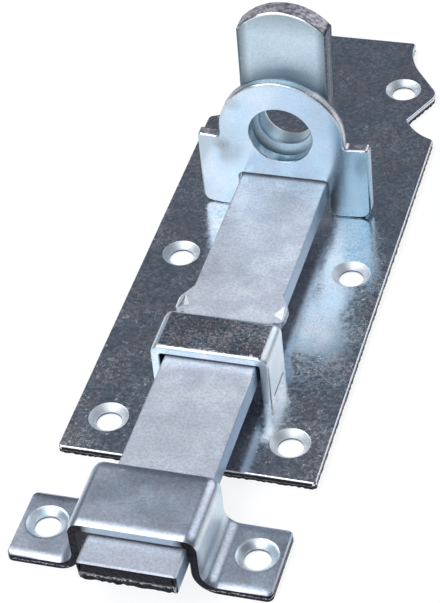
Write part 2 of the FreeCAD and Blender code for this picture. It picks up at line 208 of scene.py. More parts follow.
def leave():
    """Leave edit mode."""
    bpy.ops.object.mode_set(mode="OBJECT")


def pick(piece, kind, test):
    """Select, in edit mode, the faces, edges or verts that pass a test, and count them."""
    bpy.ops.mesh.select_mode(type=kind)
    bpy.ops.mesh.select_all(action="DESELECT")
    mesh = bmesh.from_edit_mesh(piece.data)
    parts = {"FACE": mesh.faces, "EDGE": mesh.edges, "VERT": mesh.verts}[kind]
    count = 0
    for part in parts:
        if test(part):
            part.select_set(True)
            count += 1
    mesh.select_flush_mode()
    bmesh.update_edit_mesh(piece.data)
    return count


def copy_node(node, name):
    """Editable copy of a node: loose triangles merged, flat faces joined."""
    sizes = bpy.context.scene.bolt_shapes
    piece = bpy.data.objects.new(name, frame["nodes"][node].data.copy())
    bpy.context.scene.collection.objects.link(piece)
    piece.data.materials.clear()
    only(piece)
    bpy.ops.mesh.customdata_custom_splitnormals_clear()
    bpy.ops.object.mode_set(mode="EDIT")
    bpy.ops.mesh.select_all(action="SELECT")
    bpy.ops.mesh.remove_doubles(threshold=sizes.merge)
    bpy.ops.mesh.dissolve_limited(angle_limit=math.radians(0.5))
    leave()
    return piece


def split_long(piece, test, pitch):
    """Halve the edges that pass a test until none is longer than the pitch."""
    while pick(piece, "EDGE", lambda e: test(e) and e.calc_length() > pitch):
        bpy.ops.mesh.subdivide(number_cuts=1)


def cut(piece, test, point, normal):
    """Cut the faces that pass a test along a plane."""
    pick(piece, "FACE", test)
    bpy.ops.mesh.bisect(plane_co=point, plane_no=normal)


def modify(piece, kind, **settings):
    """Add a modifier and apply it."""
    made = piece.modifiers.new(kind.title(), kind)
    for name, value in settings.items():
        setattr(made, name, value)
    only(piece)
    bpy.ops.object.modifier_apply(modifier=made.name)


def tear(piece, name, weigh, depth, size, direction, level):
    """Push the weighted corners unevenly, as on a torn edge.

    size is the length of one notch. At level 0 or 1 the push is one way only, in between it is
    both ways.
    """
    made = piece.vertex_groups.new(name=name)
    for vert in piece.data.vertices:
        weight = weigh(vert)
        if weight > 0:
            made.add([vert.index], weight, "REPLACE")
    grain = bpy.data.textures.new(name, "CLOUDS")
    grain.noise_scale = size
    modify(
        piece, "DISPLACE", texture=grain, texture_coords="LOCAL", vertex_group=name,
        direction=direction, mid_level=level, strength=depth,
    )


def mount_place(name):
    """Place of one of the record's mounts."""
    return Vector(next(m["pos_m"] for m in frame["record"]["mounts"] if m["name"] == name))


def hole_places(*names):
    """Middles of the screw holes that the record's bolt patterns name."""
    places = []
    for mount in frame["record"]["mounts"]:
        if mount["name"] in names:
            half_x = mount["dims"]["spacing_x_mm"] / 2 * MM
            half_y = mount["dims"].get("spacing_y_mm", 0) / 2 * MM
            middle = Vector(mount["pos_m"])
            for side, end in ((-1, -1), (1, -1), (-1, 1), (1, 1)):
                places.append(Vector((middle.x + side * half_x, middle.y + end * half_y)))
    return places


def from_hole(co, places):
    """Distance of a point from the axis of the nearest hole."""
    return min((co.xy - place_at).length for place_at in places)


def round_sinks(piece, places, top, size):
    """Round the rims of the countersinks."""

    def on_rim(edge):
        return all(
            abs(from_hole(v.co, places) - SINK_RIM) < NEAR and abs(v.co.z - top) < 2 * HAIR
            for v in edge.verts
        )

    edit(piece)
    pick(piece, "EDGE", on_rim)
    bpy.ops.mesh.bevel(offset=size, segments=3, affect="EDGES")
    leave()


def outer_skin(face, middle):
    """True on the outside of a strip that is bent over the bar, but not on its cut edges."""
    side = 1 if face.calc_center_median().x > middle else -1
    return face.normal.z + face.normal.x * side > PARTLY and abs(face.normal.y) < STRAIGHT


def inner_skin(face, middle):
    """True on the inside of a strip that is bent over the bar, but not on its cut edges."""
    side = 1 if face.center.x > middle else -1
    faces_in = min(face.normal.z, face.normal.x * side) < -PARTLY
    return faces_in and face.center.z > NEAR and abs(face.normal.y) < 0.5


def roll_ends(piece, low, high, width, drop):
    """Let the outer skin of a bent strip fall off softly towards its two cut edges."""
    middle = (low.x + high.x) / 2
    span = width - EDGE_BREAK
    # distance of each row of corners from the cut edge, and its share of the drop
    rows = (
        (EDGE_BREAK, 1),
        (EDGE_BREAK + span * 0.25, 0.56),
        (EDGE_BREAK + span * 0.55, 0.2),
        (width, 0),
    )

    def skin(face):
        return outer_skin(face, middle)

    def pick_row(row):
        # half a hair, because corners of the feet's chamfers lie a hair away
        pick(
            piece, "VERT",
            lambda v: abs(v.co.y - row) < HAIR / 2 and any(skin(f) for f in v.link_faces),
        )

    edit(piece)
    for start, way in ((low.y, 1), (high.y, -1)):
        for distance, _ in rows[1:]:
            cut(piece, skin, (0, start + way * distance, 0), (0, 1, 0))
        for distance, part in rows[:-1]:
            pick_row(start + way * distance)
            bpy.ops.transform.shrink_fatten(value=-drop * part)
    leave()


def smooth(piece, degrees=60):
    """Round shading across narrow bands and up to an angle, flat shading on large faces."""
    only(piece)
    bpy.ops.object.shade_smooth_by_angle(angle=math.radians(degrees))
    modify(piece, "WEIGHTED_NORMAL", keep_sharp=True, weight=80)


def coat(piece, materials, zone):
    """Give a piece its materials; zone tells the material of each face."""
    for made in materials:
        piece.data.materials.append(made)
    slots = {made.name: index for index, made in enumerate(materials)}
    for face in piece.data.polygons:
        face.material_index = slots[zone(face).name]


def place(piece, body, node):
    """Put a finished piece on its body, in the place of its node."""
    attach(piece, body)
    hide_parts(node)


def add(tree, kind, inputs=None, output=None, **settings):
    """Add a node with its settings, values and links.

    Returns the output of the given name, or else the first one that is in use.
    """
    made = tree.nodes.new(kind)
    for name, value in settings.items():
        setattr(made, name, value)
    for socket, value in (inputs or {}).items():
        if isinstance(value, bpy.types.NodeSocket):
            tree.links.new(value, made.inputs[socket])
        else:
            made.inputs[socket].default_value = value
    if output:
        return made.outputs[output]
    return next((socket for socket in made.outputs if socket.enabled), None)


def new_material(name):
    """Metal with nothing but its shader."""
    made = bpy.data.materials.new(name)
    made.use_nodes = True
    shader = made.node_tree.nodes["Principled BSDF"]
    shader.inputs["Metallic"].default_value = 1
    return made, made.node_tree, shader


def opaque(rgb):
    """Colour with full cover, as a node's socket takes it."""
    return (*rgb, 1)


def zinc(
    name, cool, warm, rough, cloud, grain, relief, depth,
    specks=0.3, mottle=0.0, fades=(), spots=(),
):
    """Zinc plate on steel: cool and warm clouds under a fine uneven grain with pale specks.

    rough is the lowest and highest roughness. cloud and grain are the widths of one cloud and one
    grain, and relief is the grain's height. depth is how far the grain darkens, specks is the
    strength of the specks, and mottle how much duller the metal is between the grains. A fade is an
    axis, the places where it starts and is full, its colour and its strength. A spot is a smudge's
    middle, radius and strength. Real zinc crystals are under 0.1 mm, too fine to show, so the grain
    is drawn 0.4 to 0.8 mm wide.
    """
    colours = bpy.context.scene.bolt_colours
    made, tree, shader = new_material(name)
    place_in = add(tree, "ShaderNodeTexCoord", output="Object")
    clouds, drift, fine, dots = (
        add(tree, "ShaderNodeTexNoise", {
            "Vector": place_in, "Scale": 1 / size, "Detail": detail, "Roughness": roughness,
            "Distortion": 0.3,
        })
        for size, detail, roughness in (
            (cloud, 3, 0.6), (cloud * 2.3, 2, 0.5), (grain, 2, 0.8), (grain * 1.6, 1, 0.5),
        )
    )

    # colour: clouds, then fades and smudges, then the grain and its specks
    warmth = add(tree, "ShaderNodeMapRange", {"Value": clouds, "From Min": 0.4, "From Max": 0.6})
    layers = [(warmth, warm)]
    for axis, start, full, over, strength in fades:
        along = add(tree, "ShaderNodeSeparateXYZ", {"Vector": place_in}, output=axis)
        level = add(tree, "ShaderNodeMapRange", {
            "Value": along, "From Min": start, "From Max": full, "To Max": strength,
        })
        layers.append((level, over))
    for middle, radius, strength in spots:
        away = add(tree, "ShaderNodeVectorMath", {0: place_in, 1: middle}, operation="DISTANCE")
        near = add(tree, "ShaderNodeMapRange", {
            "Value": away, "From Min": radius, "From Max": radius * 0.3, "To Max": strength,
        })
        gaps = add(tree, "ShaderNodeMapRange", {
            "Value": fine, "From Min": 0.35, "From Max": 0.6, "To Min": 0.3,
        })
        level = add(tree, "ShaderNodeMath", {0: near, 1: gaps}, operation="MULTIPLY")
        layers.append((level, colours.smudge))
    ground = opaque(cool)
    for level, over in layers:
        ground = add(
            tree, "ShaderNodeMix", {LEVEL: level, UNDER: ground, OVER: opaque(over)},
            data_type="RGBA",
        )
    shade = add(tree, "ShaderNodeMapRange", {
        "Value": fine, "From Min": 0.32, "From Max": 0.62, "To Min": 1 - depth,
    })
    grained = add(
        tree, "ShaderNodeMix", {LEVEL: 1.0, UNDER: ground, OVER: shade},
        data_type="RGBA", blend_type="MULTIPLY",
    )
    speckle = add(tree, "ShaderNodeMapRange", {
        "Value": dots, "From Min": 0.67, "From Max": 0.76, "To Max": specks,
    })
    dotted = add(
        tree, "ShaderNodeMix", {LEVEL: speckle, UNDER: grained, OVER: opaque(colours.speck_and_highlight)},
        data_type="RGBA",
    )

    # roughness: drifts over the piece, and is higher between the grains and on the specks
    worn = add(tree, "ShaderNodeMapRange", {
        "Value": drift, "From Min": 0.38, "From Max": 0.62, "To Min": rough[0], "To Max": rough[1],
    })
    pores = add(tree, "ShaderNodeMapRange", {"Value": fine, "From Min": 0.4, "From Max": 0.65})
    mottled = add(tree, "ShaderNodeMath", {0: pores, 1: mottle, 2: worn}, operation="MULTIPLY_ADD")
    dull = add(tree, "ShaderNodeMath", {0: speckle, 1: 0.3, 2: mottled}, operation="MULTIPLY_ADD")

    bump = add(tree, "ShaderNodeBump", {"Height": fine, "Strength": 1.0, "Distance": relief})
    for socket, value in (("Base Color", dotted), ("Roughness", dull), ("Normal", bump)):
        tree.links.new(value, shader.inputs[socket])
    return made


def shaded_inside(name):
    """Inside of a bent strip: dark as painted shade, and dull."""
    tone = bpy.context.scene.bolt_colours.inside
    return zinc(
        name, tone, tone, (0.6, 0.7), cloud=3 * MM, grain=0.5 * MM, relief=0.01 * MM, depth=0.4
    )


def bore_shade_line(colours):
    """Fades that paint a thin grey shade line where a screw hole's bore begins."""
    return (
        ("Z", 0.7 * MM, 0.62 * MM, colours.slate_and_shade, 1.0),
        ("Z", 0.35 * MM, 0.25 * MM, colours.sink_pale, 1.0),
    )


def torn_steel(name, across, middle, wander, width, wave=1.6 * MM, dark=None):
    """Cut steel under a dull zinc flash: coarse, near-black as partly painted shade, with a
    ragged pale ridge along it.

    The ridge lies at middle, measured along across. It strays by wander, in waves of the given
    length.
    """
    colours = bpy.context.scene.bolt_colours
    made, tree, shader = new_material(name)
    place_in = add(tree, "ShaderNodeTexCoord", output="Object")
    waves, flecks = (
        add(tree, "ShaderNodeTexNoise", {
            "Vector": place_in, "Scale": 1 / size, "Detail": detail, "Roughness": roughness,
        })
        for size, detail, roughness in ((wave, 3, 0.65), (0.5 * MM, 2, 0.8))
    )
    away = add(tree, "ShaderNodeVectorMath", {0: place_in, 1: across}, operation="DOT_PRODUCT")
    bent = add(tree, "ShaderNodeMath", {0: waves, 1: wander, 2: away}, operation="MULTIPLY_ADD")
    off = add(tree, "ShaderNodeMath", {0: bent, 1: middle + wander / 2}, operation="SUBTRACT")
    off = add(tree, "ShaderNodeMath", {0: off}, operation="ABSOLUTE")
    ridge = add(tree, "ShaderNodeMapRange", {"Value": off, "From Min": width, "From Max": 0.0})
    gaps = add(tree, "ShaderNodeMapRange", {
        "Value": flecks, "From Min": 0.4, "From Max": 0.6, "To Min": 0.1,
    })
    broken = add(tree, "ShaderNodeMath", {0: ridge, 1: gaps}, operation="MULTIPLY")
    shade = add(tree, "ShaderNodeMapRange", {
        "Value": flecks, "From Min": 0.3, "From Max": 0.7, "To Min": 0.3, "To Max": 1.8,
    })
    ground = add(
        tree, "ShaderNodeMix", {LEVEL: 1.0, UNDER: opaque(dark or colours.torn_steel_and_shade), OVER: shade},
        data_type="RGBA", blend_type="MULTIPLY",
    )
    ridged = add(
        tree, "ShaderNodeMix", {LEVEL: broken, UNDER: ground, OVER: opaque(colours.steel_light)},
        data_type="RGBA",
    )
    bump = add(tree, "ShaderNodeBump", {"Height": waves, "Strength": 1.0, "Distance": 0.3 * MM})
    shader.inputs["Roughness"].default_value = 0.5
    for socket, value in (("Base Color", ridged), ("Normal", bump)):
        tree.links.new(value, shader.inputs[socket])
    return made


class BOLT_OT_plate(bpy.types.Operator):
    """Base plate with torn cut sides and countersunk holes"""

    bl_idname = "bolt.plate"
    bl_label = "Base plate"

    def execute(self, context):
        sizes, colours = context.scene.bolt_shapes, context.scene.bolt_colours
        piece = copy_node("base_plate", "plate")
        low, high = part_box("base_plate")
        holes = hole_places("plate_front_screws", "plate_rear_screws")
        torn_line = sizes.shear_height + HAIR
        back_line = 0.1 * MM
        front_to, ears_from, rim_from = low.y + 0.2 * MM, high.y - 38 * MM, high.x - 0.1 * MM

        def on_side(co, normal):
            near_rim = co.y < front_to or co.y > ears_from or abs(co.x) > rim_from
            return abs(normal.z) < HARDLY and near_rim and from_hole(co, holes) > SINK_REACH

        def side_face(face):
            return on_side(face.calc_center_median(), face.normal)

        def torn_edge(edge):
            tops = [v.co.z for v in edge.verts]
            is_level = abs(tops[0] - tops[1]) < HAIR
            return is_level and max(tops) < torn_line and any(side_face(f) for f in edge.link_faces)

        def torn_corner(vert):
            return vert.co.z < torn_line and any(side_face(f) for f in vert.link_faces)

        edit(piece)
        for height in (sizes.shear_height, sizes.shear_height / 2):
            cut(piece, side_face, (0, 0, height), UP)
        split_long(piece, torn_edge, sizes.shear_pitch)
        pick(piece, "VERT", torn_corner)
        leave()

        def weigh(vert):
            # full from six tenths of the torn height down
            lies_low = (sizes.shear_height - vert.co.z) / (0.6 * sizes.shear_height)
            return min(1, max(0, lies_low)) if vert.select else 0

        tear(piece, "plate_tear", weigh, sizes.shear_depth, sizes.tear_size, "NORMAL", level=1)
        # the back stays flat
        edit(piece)
        pick(piece, "VERT", lambda v: v.co.z < back_line)
        bpy.ops.transform.resize(value=(1, 1, 0), center_override=(0, 0, 0))
        leave()
        round_sinks(piece, holes, high.z, sizes.plate_sink_roll)

        # Rolled sheet plated bright: it mirrors the pieces that stand on it, and is clouded
        # blue-grey and violet.
        sheet = zinc(
            "rolled_sheet_bright_zinc", colours.plate_cool, colours.plate_warm, (0.1, 0.18),
            cloud=5 * MM, grain=0.8 * MM, relief=0.006 * MM, depth=0.35, specks=0.5, mottle=0.12,
        )
        # Torn part of the sheared sides: near-black, partly painted shade, with a thin broken
        # ridge.
        side = torn_steel(
            "sheared_sheet_edge", UP, 0.7 * MM, wander=1 * MM, width=0.08 * MM
        )
        # Countersinks, and the burnished lip over the torn sides: pale and soft, with a thin
        # painted shade line where a bore begins.
        sink = zinc(
            "cut_sink_satin_zinc", colours.sink_pale, colours.sink_pale, (0.48, 0.58),
            depth=0.1, fades=bore_shade_line(colours), **SATIN,
        )

        def zone(face):
            co, normal = face.center, face.normal
            if from_hole(co, holes) < SINK_REACH and normal.z < 0.98 and co.z > back_line:
                return sink
            if abs(normal.z) < STRAIGHT and co.z < torn_line:
                return side
            return sink if on_side(co, normal) else sheet

        coat(piece, [sheet, side, sink], zone)
        smooth(piece)
        place(piece, "base", "base_plate")
        return {"FINISHED"}


class BOLT_OT_strap(bpy.types.Operator):
    """Guide strap over the bar"""

    bl_idname = "bolt.strap"
    bl_label = "Guide strap"

    def execute(self, context):
        sizes, colours = context.scene.bolt_shapes, context.scene.bolt_colours
        piece = copy_node("guide_strap", "strap")
        low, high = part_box("guide_strap")
        above_plate = 2.001 * MM
        top_from = high.z - 0.5 * MM
        edit(piece)
        cut(piece, lambda f: abs(f.normal.z) < STRAIGHT, (0, 0, above_plate), UP)
        leave()
        roll_ends(piece, low, high, sizes.strap_roll, sizes.strap_drop)

        # Top of the bent strip, plated bright: dark, brownish and speckled.
        strip = zinc(
            "bent_strip_bright_zinc", colours.strap_cool, colours.strap_warm, (0.14, 0.24),
            cloud=3.5 * MM, grain=0.6 * MM, relief=0.01 * MM, depth=0.5, specks=0.7, mottle=0.14,
        )
        # Bends, legs and cut edges: smooth ice-blue zinc; the cut edges have their own finish, and
        # the bends and legs are paler than the top as a painted highlight.
        cut_side = zinc(
            "cut_strip_satin_zinc", colours.grip_ice, colours.sink_pale, (0.34, 0.44),
            depth=0.15, **SATIN,
        )
        inside = shaded_inside("strap_inside_shade_zinc")

        def zone(face):
            if inner_skin(face, 0):
                return inside
            return strip if face.normal.z > 0.95 and face.center.z > top_from else cut_side

        coat(piece, [strip, cut_side, inside], zone)
        smooth(piece)
        place(piece, "base", "guide_strap")
        return {"FINISHED"}


class BOLT_OT_bracket(bpy.types.Operator):
    """Padlock bracket with its pierced head"""

    bl_idname = "bolt.bracket"
    bl_label = "Padlock bracket"

    def execute(self, context):
        colours = context.scene.bolt_colours
        piece = copy_node("padlock_bracket", "bracket")
        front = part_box("padlock_bracket")[0].y
        eye_at = mount_place("bracket_eye")
        eye_reach = 8 * MM
        edges_from, wings_to = 18 * MM, 22 * MM

        # Stamped sheet, freshly passivated: smooth ice-blue zinc with a soft gloss, painted teal
        # shade on the right wing where it bows back, and two faint smudges.
        stamping = zinc(
            "stamped_sheet_blue_zinc", colours.ice_cool, colours.ice_warm, (0.22, 0.32),
            cloud=6 * MM, grain=0.4 * MM, relief=0.004 * MM, depth=0.1, specks=0.15,
            fades=(("X", 11 * MM, 14 * MM, colours.teal_shade, 0.8),),
            spots=(
                ((-14.2 * MM, front, 19.5 * MM), 2.6 * MM, 0.7),
                ((-10.5 * MM, front, 31 * MM), 2.4 * MM, 0.4),
            ),
        )
        # Stamped edge of the head: pale along its middle, violet-grey towards the right, and darker
        # at both rims as painted shade.
        edge = zinc(
            "stamped_edge_zinc", colours.ice_cool, colours.ice_warm, (0.35, 0.5),
            cloud=1.5 * MM, grain=0.4 * MM, relief=0.03 * MM, depth=0.35,
            fades=(
                ("X", 5 * MM, 11 * MM, colours.crown_light, 0.8),
                ("Y", front + 0.9 * MM, front + 0.6 * MM, colours.slate_and_shade, 0.8),
                ("Y", front + 1.9 * MM, front + 2.3 * MM, colours.slate_and_shade, 0.8),
            ),
        )
        # Bore of the eye: painted teal shade, darker than the face.
        bore = zinc(
            "pierced_bore_zinc", colours.teal_shade, colours.ice_cool, (0.38, 0.46),
            cloud=3 * MM, grain=0.4 * MM, relief=0.006 * MM, depth=0.2,
        )
        # Tops of the wings: violet-grey.
        wing = zinc(
            "stamped_wing_top_zinc", colours.crown_light, colours.crown_dark, (0.35, 0.5),
            cloud=1.5 * MM, grain=0.4 * MM, relief=0.03 * MM, depth=0.3,
        )
        # Front rim of the head and the wings: a painted highlight, pale so that it shows as a white
        # line.
        rim = zinc(
            "rim_highlight_zinc", colours.sink_pale, colours.ice_warm, (0.3, 0.4),
            cloud=2 * MM, grain=0.4 * MM, relief=0.004 * MM, depth=0.1,
        )

        def zone(face):
            co, normal = face.center, face.normal
            if abs(normal.y) < PARTLY and (co.xz - eye_at.xz).length < eye_reach:
                return bore
            if -0.97 < normal.y < -PARTLY and normal.z > 0.15 and co.z > edges_from:
                return rim
            if abs(normal.y) > PARTLY or co.z < edges_from:
                return stamping
            return wing if normal.z > 0.7 and co.z < wings_to else edge

        coat(piece, [stamping, edge, bore, wing, rim], zone)
        smooth(piece)
        place(piece, "base", "padlock_bracket")
        return {"FINISHED"}


class BOLT_OT_bar(bpy.types.Operator):
    """Bolt: flat bar with stop lugs and turned-up pierced end"""

    bl_idname = "bolt.bar"
    bl_label = "Bolt"

    def execute(self, context):
        sizes, colours = context.scene.bolt_shapes, context.scene.bolt_colours
        piece = copy_node("bolt", "sliding_bar")
        low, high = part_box("bolt")
        eye_at = mount_place("bolt_eye")
        eye_reach = 6.8 * MM
        bar_top = low.z + 5 * MM
        torn_top = low.z + sizes.nose_torn
        # along the bar: the nose's cut face, its torn edge, and the stop lugs
        cut_to, nose_to = low.y + 0.1 * MM, low.y + 1.2 * MM
        lugs_from, lugs_to = -41.5 * MM, -34 * MM
        # out from its middle: the end's sheared sides, the lugs' dents and the end's broken edges
        sides_out, dents_out, edges_out = 9 * MM, 9.2 * MM, 9.4 * MM
        # heights from which the turned-up end has sides, a front face and a crown
        sides_from, face_from, crown_from = bar_top + 3 * MM, bar_top + 4 * MM, bar_top + 34 * MM
        # the turned-up end leans to the rear
        lean = math.radians(4)
        along = Vector((0, math.sin(lean), math.cos(lean)))
        across = Vector((0, math.cos(lean), -math.sin(lean)))
        front_face = across.dot(Vector((0, 9.8 * MM, 12.1 * MM)))

        def on_nose(face):
            return face.normal.y < -STRAIGHT and face.calc_center_median().y < cut_to

        def on_crown(co, normal):
            return co.z > crown_from and normal.dot(along) > 0.6

        def nose_rim(edge):
            # all round it but at its foot
            of_nose = len(edge.link_faces) == 2 and any(on_nose(f) for f in edge.link_faces)
            return of_nose and max(v.co.z for v in edge.verts) > low.z + 1 * MM

        def crown_rim(edge):
            crowned = [on_crown(f.calc_center_median(), f.normal) for f in edge.link_faces]
            return len(crowned) == 2 and sum(crowned) == 1

        edit(piece)
        cut(piece, lambda f: abs(f.normal.x) > STRAIGHT, (0, 0, sides_from), UP)
        for rim in (nose_rim, crown_rim):
            pick(piece, "EDGE", rim)
            bpy.ops.mesh.bevel(offset=sizes.bar_roll, segments=3, affect="EDGES")
        # rows and columns of corners for the tear
        for height in (0.5 * MM, 1.1 * MM, 1.8 * MM, sizes.nose_torn):
            cut(piece, on_nose, (0, 0, low.z + height), UP)
        columns, column = 14, 0.7 * MM
        for index in range(-columns, columns + 1):
            cut(piece, on_nose, (index * column, 0, 0), (1, 0, 0))
        leave()

        def weigh(vert):
            # full from seven tenths of the torn height down
            near = vert.co.y < low.y + sizes.bar_roll + HAIR and vert.co.z < torn_top - HAIR
            return min(1, (torn_top - vert.co.z) / (0.7 * sizes.nose_torn)) if near else 0

        def weigh_foot(vert):
            return float(vert.co.y < nose_to and vert.co.z < low.z + NEAR)

        tear(piece, "nose_tear", weigh, sizes.nose_depth, 1.1 * MM, "Y", level=0)
        tear(piece, "nose_foot", weigh_foot, 0.9 * MM, 0.8 * MM, "Z", level=0.3)
        # the bevel's corners stay behind the end's plane
        edit(piece)
        pick(piece, "VERT", lambda v: v.co.y < low.y)
        bpy.ops.transform.resize(value=(1, 0, 1), center_override=(0, low.y, 0))
        leave()

        # Flat bar with a satin plate: light, with a fine grain that blurs what it mirrors, icier on
        # the turned-up end, and darker towards the nose as painted shade.
        bar = zinc(
            "flat_bar_satin_zinc", colours.bar_cool, colours.bar_warm, (0.5, 0.6),
            cloud=6 * MM, grain=0.6 * MM, relief=0.012 * MM, depth=0.25,
            fades=(
                ("Z", bar_top + 2 * MM, bar_top + 9 * MM, colours.grip_ice, 0.9),
                ("Y", low.y + 62 * MM, low.y + 40 * MM, colours.nose_shade, 0.3),
                ("Y", low.y + 20 * MM, low.y, colours.nose_shade, 0.6),
            ),
        )
        # Cropped nose: dark, partly painted shade, with a ragged pale ridge over its torn lower
        # half.
        end = torn_steel(
            "cropped_bar_end", UP, low.z + 1.9 * MM, wander=2.6 * MM, width=0.55 * MM, wave=1 * MM
        )
        # Cropped top of the turned-up end: violet-grey, rough, with dark flecks.
        crown = zinc(
            "cropped_crown_zinc", colours.crown_light, colours.crown_dark, (0.45, 0.6),
            cloud=1.2 * MM, grain=0.4 * MM, relief=0.05 * MM, depth=0.5,
        )
        # Sheared sides of the turned-up end: slate, with a ragged pale line up the middle.
        sheared = torn_steel(
            "sheared_bar_side", across, front_face + 2.3 * MM, wander=1.2 * MM, width=0.22 * MM,
            dark=colours.slate_and_shade,
        )
        # Dents left by the punch: burnished, pale and glossy, so they mirror the glint lights. The
        # same pale on the dents' inner walls and the crown's front rim is a painted highlight.
        coined_and_highlight = zinc(
            "punched_dent_and_highlight_zinc", colours.speck_and_highlight, colours.speck_and_highlight, (0.16, 0.2),
            cloud=3 * MM, grain=0.4 * MM, relief=0.002 * MM, depth=0.05,
        )
        # Front of the turned-up end: ice-blue, with painted shade along its edges and under its
        # crown.
        grip = zinc(
            "turned_up_face_satin_zinc", colours.grip_ice, colours.grip_ice, (0.5, 0.6),
            cloud=5 * MM, grain=0.5 * MM, relief=0.01 * MM, depth=0.15,
            fades=(
                ("X", 7.8 * MM, 10.3 * MM, colours.grip_edge_shade, 0.85),
                ("X", -7.3 * MM, -9.8 * MM, colours.grip_edge_shade, 0.95),
                ("Z", high.z - 6 * MM, high.z, colours.grip_edge_shade, 0.5),
            ),
        )
        # Bore of the eye: smooth and pale like the face, with painted teal shade at its front and
        # on the left, and a painted highlight on its rear rim.
        bore = zinc(
            "pierced_bar_bore_zinc", colours.grip_ice, colours.grip_ice, (0.45, 0.55),
            cloud=6 * MM, grain=0.5 * MM, relief=0.008 * MM, depth=0.15,
            fades=(
                ("Y", eye_at.y - 1.6 * MM, eye_at.y - 2.2 * MM, colours.teal_shade, 0.5),
                ("X", 1 * MM, -6 * MM, colours.teal_shade, 1.0),
                ("Y", eye_at.y + 1.4 * MM, eye_at.y + 1.7 * MM, colours.speck_and_highlight, 1.0),
            ),
        )
        # Rolled sides of the bar: smoother and bluer than its top, darker between the strap and the
        # keeper.
        side = zinc(
            "rolled_bar_side_zinc", colours.bar_side, colours.bar_side, (0.4, 0.5),
            cloud=5 * MM, grain=0.5 * MM, relief=0.008 * MM, depth=0.2,
            fades=(
                ("Y", low.y + 62 * MM, low.y + 45 * MM, colours.side_darker, 1.0),
                ("Y", low.y + 26 * MM, low.y + 12 * MM, colours.bar_side, 1.0),
            ),
        )

        def in_dent(co, normal):
            in_lugs = lugs_from < co.y < lugs_to and abs(co.x) > dents_out
            faces_in = normal.x * co.x < 0 and abs(normal.x) > 0.6
            return in_lugs and co.z < bar_top - NEAR and (PARTLY < normal.z < 0.99 or faces_in)

        def dent_edge(edge):
            return any(in_dent(f.calc_center_median(), f.normal) for f in edge.link_faces)

        # the dents keep crisp edges
        edit(piece)
        pick(piece, "EDGE", dent_edge)
        bpy.ops.mesh.mark_sharp()
        leave()

        def zone(face):
            co, normal = face.center, face.normal
            through = normal.dot(across)
            if min(normal.y, normal.z) < -0.2 and co.y < nose_to and co.z < bar_top - 0.3 * MM:
                return end
            if on_crown(co, normal) and abs(through) < 0.5:
                return crown
            if abs(normal.x) > 0.7 and co.z > sides_from and abs(co.x) > sides_out:
                return sheared
            if (co - eye_at).length < eye_reach and abs(through) < 0.8:
                return bore
            if co.z > crown_from and -0.97 < through < -0.2 and normal.dot(along) > 0.2:
                return coined_and_highlight
            if co.z > face_from and through < -STRAIGHT:
                return grip
            if co.z > face_from and through < -PARTLY and abs(co.x) > edges_out:
                return sheared
            if in_dent(co, normal):
                return coined_and_highlight
            return side if abs(normal.x) > 0.6 else bar

        coat(piece, [bar, end, crown, sheared, coined_and_highlight, grip, bore, side], zone)
        smooth(piece, 50)
        place(piece, "bolt", "bolt")
        return {"FINISHED"}


